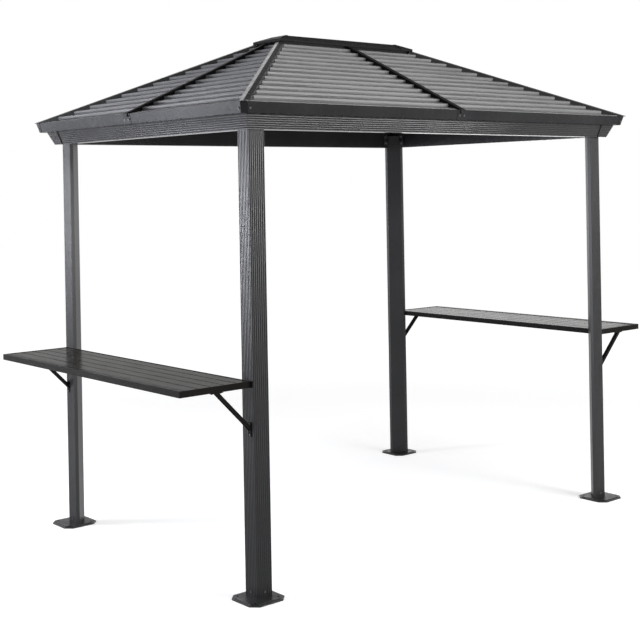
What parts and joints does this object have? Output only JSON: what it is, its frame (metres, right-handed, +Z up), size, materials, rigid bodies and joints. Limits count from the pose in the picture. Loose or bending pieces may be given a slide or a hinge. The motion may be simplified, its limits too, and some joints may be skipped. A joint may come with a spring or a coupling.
{
  "type": "metal gazebo",
  "caption": "Open-sided metal gazebo with angle-section corner posts, fluted ring beams, a hipped roof of lapped sheets under a ridge cap, and a slatted serving shelf at each end.",
  "frame": {"origin": "on the ground under the middle of the ridge", "axes": "+X along the ridge, +Y to the back, +Z up"},
  "size_m": [2.928, 1.727, 2.36],
  "materials": {
    "frame": "charcoal powder coat",
    "roof_sheet": "grey textured coil coat",
    "shelf_slat": "satin grey powder coat"
  },
  "bodies": {
    "root": {"front_left_post": "frame", "front_right_post": "frame", "back_left_post": "frame", "back_right_post": "frame", "front_left_foot": "frame", "front_right_foot": "frame", "back_left_foot": "frame", "back_right_foot": "frame", "front_beam": "frame", "back_beam": "frame", "left_beam": "frame", "right_beam": "frame", "front_left_corner_cover": "frame", "front_right_corner_cover": "frame", "back_left_corner_cover": "frame", "back_right_corner_cover": "frame", "corner_brackets": "frame", "front_fascia": "frame", "back_fascia": "frame", "left_fascia": "frame", "right_fascia": "frame", "fascia_corner_caps": "frame", "fascia_joint_plates": "frame", "front_roof_sheets": "roof_sheet", "back_roof_sheets": "roof_sheet", "left_roof_sheets": "roof_sheet", "right_roof_sheets": "roof_sheet", "front_left_hip_cap": "frame", "front_right_hip_cap": "frame", "back_left_hip_cap": "frame", "back_right_hip_cap": "frame", "rib_caps": "frame", "hip_rafters": "frame", "middle_rafters": "frame", "ridge_beam": "frame", "ridge_cap": "frame", "ridge_end_caps": "frame", "left_shelf_frame": "frame", "right_shelf_frame": "frame", "left_shelf_slats": "shelf_slat", "right_shelf_slats": "shelf_slat", "left_shelf_struts": "frame", "right_shelf_struts": "frame"}
  },
  "joints": []
}
